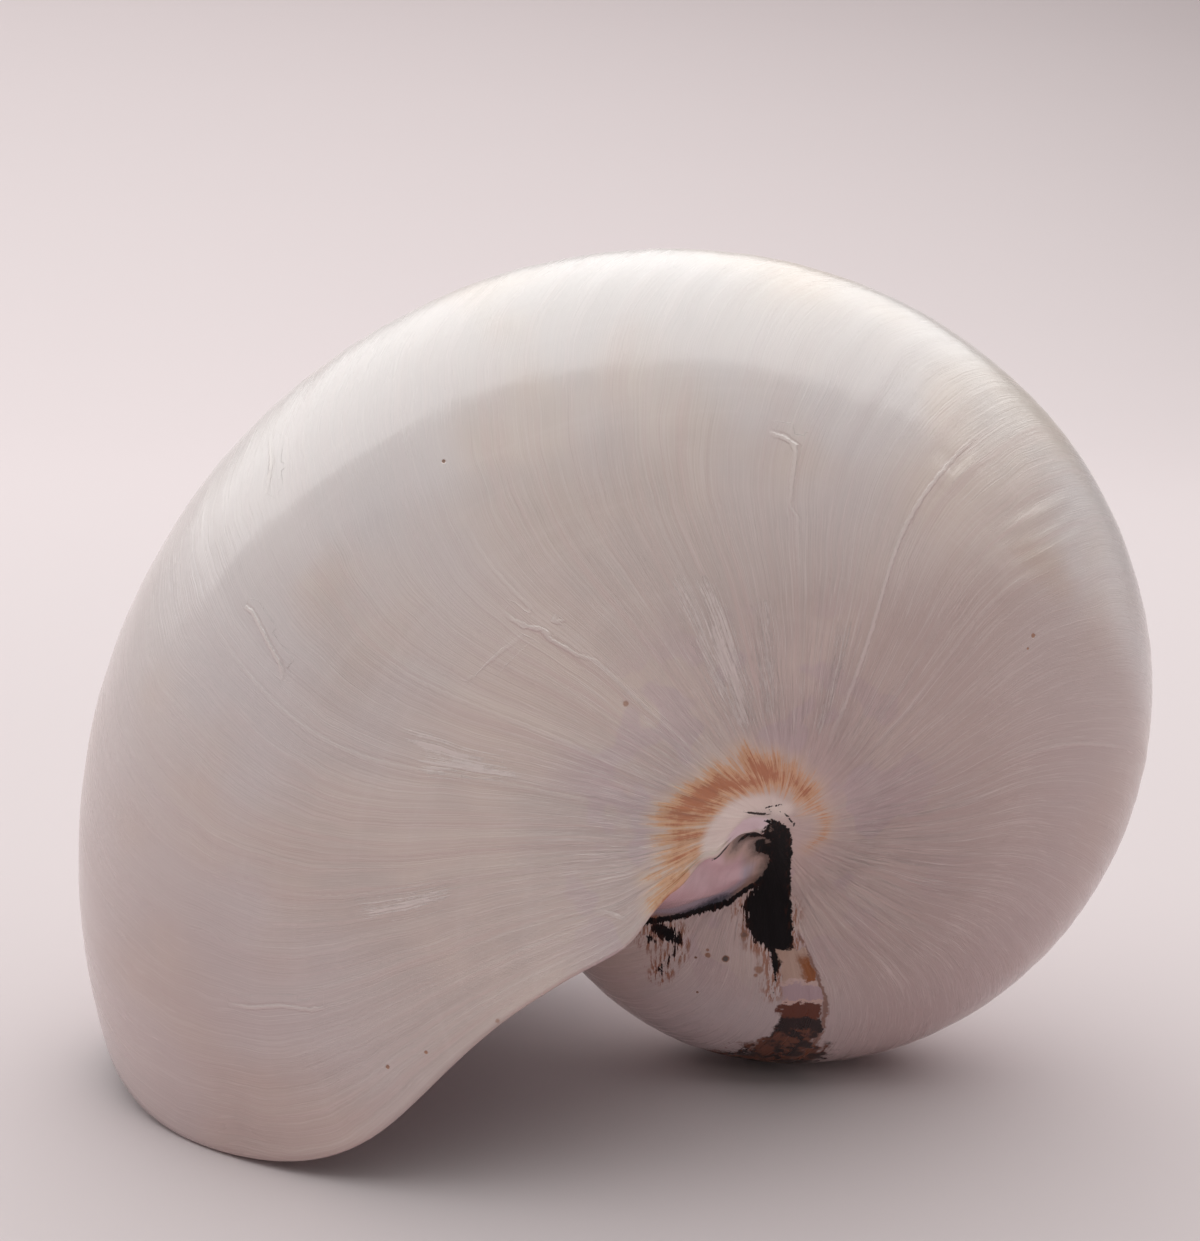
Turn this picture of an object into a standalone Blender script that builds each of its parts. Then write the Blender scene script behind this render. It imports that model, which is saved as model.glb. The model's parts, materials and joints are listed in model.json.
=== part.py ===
"""Chambered nautilus shell, standing on its lip and the bottom of its coil.

One grown piece, coiled in the XZ plane around an axis along Y. The last whorl is the whole outside.
The body chamber is open at the lip and ends at the last septum. Metres, +Z up.
"""
import math

import bmesh
import bpy
import numpy as np
from mathutils import Matrix, Vector

# ---- driving dimensions ----
NAME = "nautilus_shell"
SHELL_LENGTH = 0.160          # overall size along X, in metres
WALL = 0.0020                 # shell wall at the body chamber, in metres
FILM = 0.0003                 # black film over the previous whorl in the chamber, in metres

# Coil, in units of the keel's radius at the reference angle; angles in degrees unless named.
GROWTH = 0.154                # radius is exp(GROWTH * angle + GROWTH_CHANGE * angle^2), radians
GROWTH_CHANGE = -0.0028
FLANK_WIDTH = 0.372           # widest half-width of the whorl over its radius
FLANK_CHANGE = -0.020         # how that ratio grows with the angle in radians
INNER_WIDTH = 0.285           # half-width at the axis over the radius
INNER_CHANGE = -0.059
SHOULDER_RADIUS = 0.318       # share of the radius at which the flank is widest
SHOULDER_U = 0.35             # section coordinate there: 0 at the axis, 1 at the keel
POLE_RADIUS = 0.03            # share of the radius left to the fan that closes the axis
INNER_POWER = 2.2             # roundness between the axis and the shoulder
RADIAL_POWER = 2.17           # roundness of the outer flank, along the radius
WIDTH_POWER = 2.0             # roundness of the outer flank, across the width
PLUG_WIDTH = 0.285            # half-width of the closed umbilicus
PLUG_RADIUS = 0.155           # reach of that plug from the axis
PLUG_SHIFT_X = -0.0137        # the umbilicus closes a little off the coil's axis
PLUG_SHIFT_Z = 0.0307
START_ANGLE = 190.74          # bearing of the reference angle, from +X towards +Z

# Growth lines: how far the shell edge runs ahead of the reference angle along the section.
LINE_U = (0.0, 0.2, 0.35, 0.5, 0.65, 0.82, 1.0)
LIP_LINE = (-20.0, 11.9, 16.9, 24.4, 21.5, 15.2, 10.1)
OLD_LINE = (3.5, 14.1, 17.4, 20.5, 16.1, 9.4, 2.2)
LINE_MEMORY = 25.0            # coil angle over which the lip's line fades into the old one

CHAMBER_ANGLE = 130.0         # length of the body chamber, lip to last septum
SEPTUM_ANGLE = 12.0           # how far the septum bulges back
SEPTUM_FLAT = 0.6             # size of the septum's flat middle, in rows of its dome
CHAMBER_OVERRUN = 12.0        # the chamber's cutter runs on past the lip
HORN_U = 0.14                 # where the chamber begins beside the umbilicus
FLOOR_U = 0.36                # the same place on the previous whorl
HORN_WALL = 0.16              # share of the section over which the horn opens, above
HORN_FLOOR = 0.30             # and below
CALLUS_START_U = 0.26         # callus over the previous whorl beside the umbilicus: full up to here
CALLUS_END_U = 0.53           # and gone from here
CALLUS_HEIGHT = 0.133
CALLUS_ANGLE = 52.0           # reach of the callus in front of the lip

# ---- mesh density ----
COIL_ROWS = 66
COIL_COLUMNS = 20             # on each side
CHAMBER_ROWS = 22
CHAMBER_COLUMNS = 14          # on each side
SEPTUM_ROWS = 5
SHARP_ANGLE = 40.0            # edges sharper than this are not smoothed, in degrees

TURN = 2.0 * math.pi
WELD = 1e-6                   # vertices closer than this are joined, in coil units
NORMAL_STEP = 0.01            # section step over which the surface's slope is taken


def smooth(value):
    value = min(max(value, 0.0), 1.0)
    return value * value * (3.0 - 2.0 * value)


def mix(start, stop, share):
    return start + (stop - start) * share


def steps(start, stop, count):
    return [mix(start, stop, i / (count - 1)) for i in range(count)]


def spline(knots, values):
    """Function of a cubic curve through the knots, free at the first and level at the last."""
    count = len(knots)
    gap = np.diff(knots)
    slope = np.diff(values) / gap
    system = np.zeros((count, count))
    target = np.zeros(count)
    system[0, 0] = 1.0
    for i in range(1, count - 1):
        system[i, i - 1:i + 2] = gap[i - 1], 2.0 * (gap[i - 1] + gap[i]), gap[i]
        target[i] = 6.0 * (slope[i] - slope[i - 1])
    system[-1, -2:] = gap[-1], 2.0 * gap[-1]
    target[-1] = -6.0 * slope[-1]
    bend = np.linalg.solve(system, target)

    def curve(place):
        i = min(max(int(np.searchsorted(knots, place)) - 1, 0), count - 2)
        a = (knots[i + 1] - place) / gap[i]
        b = 1.0 - a
        arch = (a ** 3 - a) * bend[i] + (b ** 3 - b) * bend[i + 1]
        return float(a * values[i] + b * values[i + 1] + arch * gap[i] ** 2 / 6.0)

    return curve


lip_line = spline(LINE_U, LIP_LINE)
old_line = spline(LINE_U, OLD_LINE)


def line_angle(age, u):
    """Coil angle of a growth line: age is 0 at the lip and negative behind it, in radians."""
    memory = math.exp(min(age, 0.0) / math.radians(LINE_MEMORY))
    return age + math.radians(mix(old_line(u), lip_line(u), memory))


def section(angle, u):
    """Radius and half-width of the whorl, in coil units."""
    size = math.exp(GROWTH * angle + GROWTH_CHANGE * angle * angle)
    flank = FLANK_WIDTH * math.exp(FLANK_CHANGE * angle)
    inner = INNER_WIDTH * math.exp(INNER_CHANGE * angle)
    if u < SHOULDER_U:
        t = u / SHOULDER_U
        radius = mix(POLE_RADIUS, SHOULDER_RADIUS, t)
        width = mix(inner, flank, math.sqrt(1.0 - (1.0 - t) ** INNER_POWER))
    else:
        t = (u - SHOULDER_U) / (1.0 - SHOULDER_U) * math.pi / 2.0
        radius = mix(SHOULDER_RADIUS, 1.0, math.sin(t) ** (2.0 / RADIAL_POWER))
        width = flank * max(math.cos(t), 0.0) ** (2.0 / WIDTH_POWER)
    return radius * size, width * size


def shifted_section(angle, u, shift):
    """The same, moved outwards by shift across the shell's surface."""
    radius, width = section(angle, u)
    if u >= 1.0:
        return radius + shift, 0.0
    before = Vector(section(angle, max(u - NORMAL_STEP, 0.0)))
    after = Vector(section(angle, min(u + NORMAL_STEP, 1.0)))
    along = (after - before).normalized()
    return radius - along.y * shift, max(width + along.x * shift, 0.0)


def coil_place(angle, radius, width, side):
    """Point beside the coil axis; near it the width settles to the closed umbilicus."""
    share = max(1.0 - radius / PLUG_RADIUS, 0.0) ** 2
    bearing = angle + math.radians(START_ANGLE)
    x = radius * math.cos(bearing) + PLUG_SHIFT_X * share
    z = radius * math.sin(bearing) + PLUG_SHIFT_Z * share
    return Vector((x, side * mix(width, PLUG_WIDTH, share), z))


def callus_lift(age, u):
    """Height of the callus that covers the previous whorl beside the umbilicus."""
    reach = 1.0 - smooth((age + TURN) / math.radians(CALLUS_ANGLE))
    cover = 1.0 - smooth((u - CALLUS_START_U) / (CALLUS_END_U - CALLUS_START_U))
    return CALLUS_HEIGHT * reach * cover


def outer_point(age, u, side):
    angle = line_angle(age, u)
    radius, width = section(angle, u)
    return coil_place(angle, radius, width + callus_lift(age, u), side)


def make_mesh_object(name, bm, collection):
    bmesh.ops.remove_doubles(bm, verts=bm.verts, dist=WELD)
    bmesh.ops.recalc_face_normals(bm, faces=bm.faces)
    mesh = bpy.data.meshes.new(name)
    bm.to_mesh(mesh)
    bm.free()
    piece = bpy.data.objects.new(name, mesh)
    collection.objects.link(piece)
    return piece


def bridge(bm, near, far, closed):
    """Quads between two rows of vertices."""
    count = len(near)
    for i in range(count if closed else count - 1):
        j = (i + 1) % count
        bm.faces.new((near[i], near[j], far[j], far[i]))


def make_coil(collection):
    """Outside of the shell: one full turn, stepped where the lip stands over the previous whorl."""
    bm = bmesh.new()
    stations = steps(0.0, 1.0, COIL_COLUMNS)
    rows = []
    for age in steps(-TURN, 0.0, COIL_ROWS):
        left = [bm.verts.new(outer_point(age, u, -1.0)) for u in stations]
        right = [bm.verts.new(outer_point(age, u, 1.0)) for u in stations[-2::-1]]
        rows.append(left + right)
    for near, far in zip(rows, rows[1:] + rows[:1]):
        bridge(bm, near, far, closed=False)
    for column, side in ((0, -1.0), (-1, 1.0)):
        pole = bm.verts.new((PLUG_SHIFT_X, side * PLUG_WIDTH, PLUG_SHIFT_Z))
        edge = [row[column] for row in rows]
        for near, far in zip(edge, edge[1:] + edge[:1]):
            bm.faces.new((near, far, pole))
    return make_mesh_object(NAME, bm, collection)


def chamber_side(age, side, unit):
    """Wall and floor points of one half of the chamber's section, from the horn to the keel."""
    wall, floor = [], []
    for s in steps(0.0, 1.0, CHAMBER_COLUMNS):
        u = mix(HORN_U, 1.0, s)
        angle = line_angle(age, u)
        wall.append(coil_place(angle, *shifted_section(angle, u, -WALL / unit), side))
        below = angle - TURN
        floor.append(coil_place(below, *shifted_section(below, mix(FLOOR_U, 1.0, s), FILM / unit), side))
    horn = wall[0].lerp(floor[0], 0.5)
    for i, s in enumerate(steps(0.0, 1.0, CHAMBER_COLUMNS)):
        wall[i] = horn.lerp(wall[i], smooth(s / HORN_WALL))
        floor[i] = horn.lerp(floor[i], smooth(s / HORN_FLOOR))
    return wall, floor


def chamber_ring(age, opening, unit):
    """Closed ring round the chamber; opening below 1 draws wall and floor together."""
    near_wall, near_floor = chamber_side(age, -1.0, unit)
    far_wall, far_floor = chamber_side(age, 1.0, unit)
    wall = near_wall + far_wall[-2::-1]
    floor = near_floor + far_floor[-2::-1]
    middle = [a.lerp(b, 0.5) for a, b in zip(wall, floor)]
    wall = [m.lerp(p, opening) for m, p in zip(middle, wall)]
    floor = [m.lerp(p, opening) for m, p in zip(middle, floor)]
    return wall + floor[-2:0:-1]


def make_chamber(collection, unit):
    """Cutter for the body chamber, domed backwards at the last septum."""
    bm = bmesh.new()
    septum = -math.radians(CHAMBER_ANGLE)
    rings = []
    for i in range(SEPTUM_ROWS):
        turn = (i + SEPTUM_FLAT) / SEPTUM_ROWS * math.pi / 2.0
        age = septum - math.radians(SEPTUM_ANGLE) * math.cos(turn)
        rings.append(chamber_ring(age, math.sin(turn), unit))
    for age in steps(septum, math.radians(CHAMBER_OVERRUN), CHAMBER_ROWS):
        rings.append(chamber_ring(age, 1.0, unit))
    rows = [[bm.verts.new(point) for point in ring] for ring in rings]
    for near, far in zip(rows, rows[1:]):
        bridge(bm, near, far, closed=True)
    for row in (rows[0], rows[-1]):
        half = len(row) // 2
        upper = row[:half + 1]
        lower = [row[0]] + row[:half - 1:-1]
        for a, b, c, d in zip(upper, upper[1:], lower[1:], lower):
            corners = [v for i, v in enumerate((a, b, c, d)) if v not in (a, b, c, d)[:i]]
            bm.faces.new(corners)
    return make_mesh_object("chamber_cutter", bm, collection)


def shell_material():
    material = bpy.data.materials.new("nacre")
    material.use_nodes = True
    shader = material.node_tree.nodes["Principled BSDF"]
    shader.inputs["Base Color"].default_value = (0.60, 0.53, 0.49, 1.0)
    shader.inputs["Roughness"].default_value = 0.35
    shader.inputs["Metallic"].default_value = 0.0
    return material


def main():
    for item in list(bpy.data.objects):
        bpy.data.objects.remove(item, do_unlink=True)
    parts = bpy.data.collections.new(NAME)
    cutters = bpy.data.collections.new("cutters")
    bpy.context.scene.collection.children.link(parts)
    bpy.context.scene.collection.children.link(cutters)

    shell = make_coil(parts)
    across = [vert.co.x for vert in shell.data.vertices]
    unit = SHELL_LENGTH / (max(across) - min(across))
    middle = (max(across) + min(across)) / 2.0
    bottom = min(vert.co.z for vert in shell.data.vertices)
    to_size = Matrix.Scale(unit, 4) @ Matrix.Translation((-middle, 0.0, -bottom))

    chamber = make_chamber(cutters, unit)
    chamber.hide_render = True
    chamber.display_type = "WIRE"
    for piece in (shell, chamber):
        piece.data.transform(to_size)

    cut = shell.modifiers.new("body_chamber", "BOOLEAN")
    cut.operation = "DIFFERENCE"
    cut.solver = "EXACT"
    cut.object = chamber
    shell.data.materials.append(shell_material())
    shell.data.shade_smooth()
    shell.data.set_sharp_from_angle(angle=math.radians(SHARP_ANGLE))


main()
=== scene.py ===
import json
import math
from collections import namedtuple

import bpy
import numpy as np
from mathutils import Matrix, Vector, noise

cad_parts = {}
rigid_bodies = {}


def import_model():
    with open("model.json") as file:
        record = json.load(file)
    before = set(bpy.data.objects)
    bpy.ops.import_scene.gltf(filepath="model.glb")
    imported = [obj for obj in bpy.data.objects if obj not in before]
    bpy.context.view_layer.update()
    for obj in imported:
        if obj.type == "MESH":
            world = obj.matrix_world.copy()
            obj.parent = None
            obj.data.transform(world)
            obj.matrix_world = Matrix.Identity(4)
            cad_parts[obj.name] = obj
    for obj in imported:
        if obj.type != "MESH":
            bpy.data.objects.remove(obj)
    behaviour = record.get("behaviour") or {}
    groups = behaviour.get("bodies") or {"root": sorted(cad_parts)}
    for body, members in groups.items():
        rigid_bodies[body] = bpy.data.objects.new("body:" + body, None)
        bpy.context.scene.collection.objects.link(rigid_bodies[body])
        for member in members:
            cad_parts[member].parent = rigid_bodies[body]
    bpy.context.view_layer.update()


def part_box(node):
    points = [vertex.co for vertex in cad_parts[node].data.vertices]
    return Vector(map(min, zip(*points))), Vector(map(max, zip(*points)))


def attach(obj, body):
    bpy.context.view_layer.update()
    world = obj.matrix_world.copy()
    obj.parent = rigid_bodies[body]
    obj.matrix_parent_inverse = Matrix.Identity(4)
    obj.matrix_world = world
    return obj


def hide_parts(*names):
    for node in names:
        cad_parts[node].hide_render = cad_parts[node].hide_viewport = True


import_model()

NODE = "nautilus_shell"
BODY = "root"

TURN = 2.0 * math.pi
MM = 0.001

# ---- coil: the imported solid's law with a finer pole and lip line, in units of the keel's radius ----
GROWTH = 0.154
GROWTH_CHANGE = -0.0028
FLANK_WIDTH = 0.372
FLANK_CHANGE = -0.02
INNER_WIDTH = 0.285
INNER_CHANGE = -0.059
SHOULDER_RADIUS = 0.318
SHOULDER_U = 0.35
POLE_RADIUS = 0.01
INNER_POWER = 2.2
RADIAL_POWER = 2.17
WIDTH_POWER = 2.0
PLUG_WIDTH = 0.285
PLUG_RADIUS = 0.155
PLUG_SHIFT_X = -0.0137        # the umbilicus closes a little off the coil's axis
PLUG_SHIFT_Z = 0.0307
START_ANGLE = 190.74

# Growth lines, in degrees ahead of the reference angle, and how fast the lip's line fades. A fit to the
# photo's outline and growth lines gave them and the coil; those near the umbilicus are set one by one.
LIP_U = (0.0, 0.006, 0.012, 0.024, 0.037, 0.049, 0.0625, 0.076, 0.084, 0.1, 0.122, 0.148, 0.195, 0.22,
         0.255, 0.35, 0.5, 0.65, 0.82, 1.0)
LIP_LINE = (48.0, 25.0, 5.0, -9.0, -13.9, -14.0, -8.9, -4.2, -2.3, -5.0, -3.6, 1.7, 9.7, 14.0, 16.0, 17.0,
            24.4, 21.5, 15.2, 10.1)
OLD_U = (0.0, 0.2, 0.35, 0.5, 0.65, 0.82, 1.0)
OLD_LINE = (3.5, 14.1, 17.4, 20.5, 16.1, 9.4, 2.2)
LINE_MEMORY = 25.0

# ---- lip, callus and chamber ----
CHAMBER_ANGLE = 130.0
SEPTUM_ANGLE = 13.0
HORN_T = 0.16                 # where the free lip ends beside the umbilicus
HORN_OLD_U = 0.36             # the same place on the previous whorl
CALLUS_OLD_U = 0.59           # the callus fades out across the previous whorl
CALLUS_REACH = 66.0           # and along it, in degrees in front of the lip
CALLUS_CORNER_U = 0.19        # up to here it keeps its full reach
LIP_THICKNESS = 1.0           # mm
WALL_THICKNESS = 1.7          # mm, deeper in the chamber
HORN_THICKNESS = 1.7          # mm, of the rolled band beside the umbilicus
ROLL_DROP = 1.4               # mm that the band rolls inwards before its edge
ROLL_ANGLE = 50.0
FILM_LIFT = 0.15              # mm of black layer on the previous whorl, in the chamber
EVEN_ANGLE = 70.0             # degrees over which the columns spread evenly again
ROW_GROWTH = 0.17             # how much closer the older rows lie, and how much of that is evened out
ROW_EVENNESS = 0.4
DEPTH_POWER = 1.15            # packs the chamber's rows closer to the lip
WALL_FADE = 0.25              # radians over which the lip thickens to the wall
LIP_FADE = 6.0                # degrees over which the skin draws back for the rounded rim
PIT_ANGLE = 5.0               # depth and spread of the siphuncle's pit
PIT_SPREAD = 0.05

# ---- mesh density ----
SKIN_ROWS = 470
NEAR_UMBILICUS_COLUMNS = 27
NEAR_FLANK_COLUMNS = 74
FAR_UMBILICUS_COLUMNS = 13
FAR_FLANK_COLUMNS = 35
RIM_ROWS = 7
CHAMBER_ROWS = 78
SEPTUM_ROWS = 26


def smooth(value):
    value = np.clip(value, 0.0, 1.0)
    return value * value * (3.0 - 2.0 * value)


def mix(start, stop, share):
    return start + (stop - start) * share


def fade(value, start, width):
    """1 up to start, then down to 0 over the width."""
    return 1.0 - smooth((value - start) / width)


def spline(knots, values):
    """Function of a cubic curve through the knots, free at the first and level at the last."""
    knots = np.array(knots)
    values = np.array(values)
    count = len(knots)
    gap = np.diff(knots)
    slope = np.diff(values) / gap
    system = np.zeros((count, count))
    target = np.zeros(count)
    system[0, 0] = 1.0
    for i in range(1, count - 1):
        system[i, i - 1:i + 2] = gap[i - 1], 2.0 * (gap[i - 1] + gap[i]), gap[i]
        target[i] = 6.0 * (slope[i] - slope[i - 1])
    system[-1, -2:] = gap[-1], 2.0 * gap[-1]
    target[-1] = -6.0 * slope[-1]
    bend = np.linalg.solve(system, target)

    def curve(place):
        i = np.clip(np.searchsorted(knots, place) - 1, 0, count - 2)
        a = (knots[i + 1] - place) / gap[i]
        b = 1.0 - a
        arch = (a ** 3 - a) * bend[i] + (b ** 3 - b) * bend[i + 1]
        return a * values[i] + b * values[i + 1] + arch * gap[i] ** 2 / 6.0

    return curve


lip_line = spline(LIP_U, LIP_LINE)
old_line = spline(OLD_U, OLD_LINE)


def line_angle(age, u):
    memory = np.exp(np.minimum(age, 0.0) / math.radians(LINE_MEMORY))
    return age + np.radians(mix(old_line(u), lip_line(u), memory))


def section(angle, u):
    """Radius and half-width of the whorl, in coil units."""
    size = np.exp(GROWTH * angle + GROWTH_CHANGE * angle ** 2)
    flank = FLANK_WIDTH * np.exp(FLANK_CHANGE * angle)
    inner = INNER_WIDTH * np.exp(INNER_CHANGE * angle)
    t = np.clip(u / SHOULDER_U, 0.0, 1.0)
    arc = np.clip((u - SHOULDER_U) / (1.0 - SHOULDER_U), 0.0, 1.0) * math.pi / 2.0
    near_radius = mix(POLE_RADIUS, SHOULDER_RADIUS, t)
    near_width = mix(inner, flank, np.sqrt(1.0 - (1.0 - t) ** INNER_POWER))
    far_radius = mix(SHOULDER_RADIUS, 1.0, np.sin(arc) ** (2.0 / RADIAL_POWER))
    far_width = flank * np.maximum(np.cos(arc), 0.0) ** (2.0 / WIDTH_POWER)
    radius = np.where(u < SHOULDER_U, near_radius, far_radius)
    width = np.where(u < SHOULDER_U, near_width, far_width)
    return radius * size, width * size


def shifted_section(angle, u, shift):
    """The same, moved outwards by shift across the shell's surface."""
    step = 0.01
    radius, width = section(angle, u)
    r0, w0 = section(angle, np.maximum(u - step, 0.0))
    r1, w1 = section(angle, np.minimum(u + step, 1.0))
    along_r, along_w = r1 - r0, w1 - w0
    length = np.hypot(along_r, along_w)
    at_keel = u > 1.0 - 1e-6
    move_r = np.where(at_keel, shift, -along_w / length * shift)
    move_w = np.where(at_keel, 0.0, along_r / length * shift)
    return radius + move_r, np.maximum(width + move_w, 0.0)


def coil_place(angle, radius, width, side):
    """Point beside the coil's axis; near it the width settles to the closed umbilicus."""
    share = np.maximum(1.0 - radius / PLUG_RADIUS, 0.0) ** 2
    width = mix(width, PLUG_WIDTH, share)
    bearing = angle + math.radians(START_ANGLE)
    x = radius * np.cos(bearing) + PLUG_SHIFT_X * share
    z = radius * np.sin(bearing) + PLUG_SHIFT_Z * share
    return np.stack([x, side * width, z], -1)


def find_scale():
    """Coil unit in metres, and the coil's middle and bottom in units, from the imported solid's box."""
    age, u = np.meshgrid(np.linspace(-TURN, 0.0, 721), np.linspace(0.0, 1.0, 201), indexing="ij")
    angle = line_angle(age, u)
    place = coil_place(angle, *section(angle, u), -1.0)
    low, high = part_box(NODE)
    across = place[..., 0]
    middle = (across.max() + across.min()) / 2.0
    return (high.x - low.x) / float(np.ptp(across)), float(middle), float(place[..., 2].min())


UNIT, MIDDLE, BOTTOM = find_scale()
UNIT_MM = UNIT / MM
POLE = Vector((-MIDDLE * UNIT, 0.0, -BOTTOM * UNIT))
PLUG = POLE + Vector((PLUG_SHIFT_X, 0.0, PLUG_SHIFT_Z)) * UNIT


# ---- the skin's mesh ----
def old_u(t):
    """Column to section coordinate on the previous whorl, where the umbilical columns spread out."""
    return np.interp(t, (0.0, HORN_T, 1.0), (0.0, HORN_OLD_U, 1.0))


def skin_u(age, t):
    return mix(t, old_u(t), fade(age, -TURN, math.radians(EVEN_ANGLE)))


def lip_thickness(t):
    return mix(HORN_THICKNESS, LIP_THICKNESS, smooth((t - HORN_T + 0.08) / 0.14))


def edge_pull(t):
    """Angle that leaves room for the rounded rim in front of the skin's last row."""
    radius, _ = section(line_angle(0.0, t), t)
    return np.minimum(lip_thickness(t) / UNIT_MM / 2.0 / radius, 0.35)


def roll_drop(age, t):
    """How far the rolled band beside the umbilicus has turned inwards, in coil units."""
    share = smooth(1.0 + age / math.radians(ROLL_ANGLE))
    return ROLL_DROP / UNIT_MM * share * fade(t, 0.07, 0.12)


def lip_edge(t):
    """Angle, radius and width of the skin's last row."""
    angle = line_angle(0.0, t) - edge_pull(t)
    radius, width = section(angle, t)
    return angle, radius, width - roll_drop(0.0, t)


def wall_row(age, t):
    """Inner surface of the chamber's outer wall."""
    thick = mix(lip_thickness(t), WALL_THICKNESS, smooth(-age / WALL_FADE))
    angle = line_angle(age, t) - edge_pull(t)
    radius, width = shifted_section(angle, t, -thick / UNIT_MM)
    return angle, radius, width


def callus_reach(u):
    """Angle in front of the lip that the callus covers."""
    share = (u - CALLUS_CORNER_U) / (CALLUS_OLD_U - CALLUS_CORNER_U)
    return math.radians(CALLUS_REACH) * np.clip(1.0 - share, 0.02, 1.0)


def first_row_lift(age, t):
    """What moves the previous whorl's surface up to the lip's inner side and the horns."""
    u = old_u(t)
    angle = line_angle(age - TURN, u)
    radius, width = section(angle, u)
    edge_angle, edge_radius, edge_width = lip_edge(np.minimum(t, HORN_T))
    under = lip_thickness(t) / UNIT_MM
    horn_angle, horn_radius, horn_width = wall_row(age, np.array(HORN_T))
    horn_old_angle = line_angle(age - TURN, np.array(HORN_OLD_U))
    horn_old_radius, horn_old_width = section(horn_old_angle, np.array(HORN_OLD_U))
    beyond = fade(u, HORN_OLD_U, CALLUS_OLD_U - HORN_OLD_U)
    to_horn = smooth(t / HORN_T) ** 6
    lift = []
    tucked = (
        (edge_angle - TURN - angle, horn_angle - TURN - horn_old_angle),
        (edge_radius - radius, horn_radius - horn_old_radius),
        (edge_width - under - width, horn_width - horn_old_width),
    )
    for lip_part, horn_part in tucked:
        lift.append(np.where(t < HORN_T, mix(lip_part, horn_part, to_horn), horn_part * beyond))
    return lift


def skin(age, t):
    """Angle, radius and width of the skin: the previous whorl below -TURN, the last whorl up to the lip."""
    u = np.where(age < -TURN, old_u(t), skin_u(age, t))
    angle = line_angle(age, u)
    radius, width = section(angle, u)
    decay = fade(age, -TURN, callus_reach(u))
    d_angle, d_radius, d_width = first_row_lift(np.minimum(age + TURN, 0.0), t)
    pull = edge_pull(t) * smooth(1.0 + age / math.radians(LIP_FADE))
    angle = angle + d_angle * decay - pull
    radius = radius + d_radius * decay
    width = width + d_width * decay - roll_drop(age, t) * (age > -TURN / 2.0)
    return angle, radius, width, u


def rim(share, t, end):
    """Rounded lip from the skin's last row (share 0) to the inner side (share 1)."""
    start = lip_edge(t)
    turn = share * math.pi
    inwards = (1.0 - math.cos(turn)) / 2.0
    angle = mix(start[0], end[0], inwards) + edge_pull(t) * math.sin(turn)
    return angle, mix(start[1], end[1], inwards), mix(start[2], end[2], inwards)


def septum(share, wall_end, floor_end, t):
    """Last septum: a bowl that is hollow towards the mouth, pierced in the middle by the siphuncle."""
    open_part = smooth((t - HORN_T) / 0.25)
    bulge = math.radians(SEPTUM_ANGLE) * math.sin(share * math.pi) * open_part
    angle, radius, width = (mix(a, b, share) for a, b in zip(wall_end, floor_end))
    from_middle = np.hypot(share - 0.5, (1.0 - t) * 1.6)
    pit = math.radians(PIT_ANGLE) * np.exp(-(from_middle / PIT_SPREAD) ** 2)
    return angle - bulge - pit, radius, width


def columns():
    """Column coordinates and sides, from the near umbilicus over the keel to the far one."""
    near = np.concatenate([
        np.linspace(0.0, HORN_T, NEAR_UMBILICUS_COLUMNS)[:-1],
        np.linspace(HORN_T, 1.0, NEAR_FLANK_COLUMNS),
    ])
    far = np.concatenate([
        np.linspace(1.0, HORN_T, FAR_FLANK_COLUMNS)[1:],
        np.linspace(HORN_T, 0.0, FAR_UMBILICUS_COLUMNS)[1:],
    ])
    return np.concatenate([near, far]), np.repeat((-1.0, 1.0), (len(near), len(far)))


def skin_ages():
    """Row ages, closer together on the smaller, older part of the whorl."""
    share = np.linspace(0.0, 1.0, SKIN_ROWS)
    packed = np.log(mix(math.exp(-ROW_GROWTH * TURN), 1.0, share)) / ROW_GROWTH
    return mix(packed, -TURN * (1.0 - share), ROW_EVENNESS)


Row = namedtuple("Row", "ids age u")


class Skin:
    """Collects vertices, the faces between rows of them, and each corner's age and section coordinate."""

    def __init__(self):
        self.places = []
        self.count = 0
        self.faces = []
        self.slots = []
        self.corner_ages = []
        self.corner_us = []

    def add(self, place):
        place = place.reshape(-1, 3)
        self.places.append(place)
        self.count += len(place)
        return np.arange(self.count - len(place), self.count)

    def add_between(self, ends, place):
        """Adds a row's inner points and keeps the given vertices at its two ends."""
        return np.concatenate([ends[:1], self.add(place[1:-1]), ends[-1:]])

    def row(self, ids, age, u):
        return Row(ids.tolist(), float(np.degrees(age)), np.broadcast_to(u, len(ids)).tolist())

    def face(self, corners, slot):
        """Adds a face from (row, index) corners, leaving out corners that meet."""
        used = []
        for row, i in corners:
            if row.ids[i] not in used:
                used.append(row.ids[i])
                self.corner_ages.append(row.age)
                self.corner_us.append(row.u[i])
        self.faces.append(used)
        self.slots.append(slot)

    def bridge(self, rows, slot):
        for near, far in zip(rows, rows[1:]):
            for i in range(len(near.ids) - 1):
                self.face(((near, i), (near, i + 1), (far, i + 1), (far, i)), slot)


def world(angle, radius, width, side):
    place = coil_place(angle, radius, width, side)
    return (place - np.array([MIDDLE, 0.0, BOTTOM])) * UNIT


OUTSIDE, INSIDE = 0, 1


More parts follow.
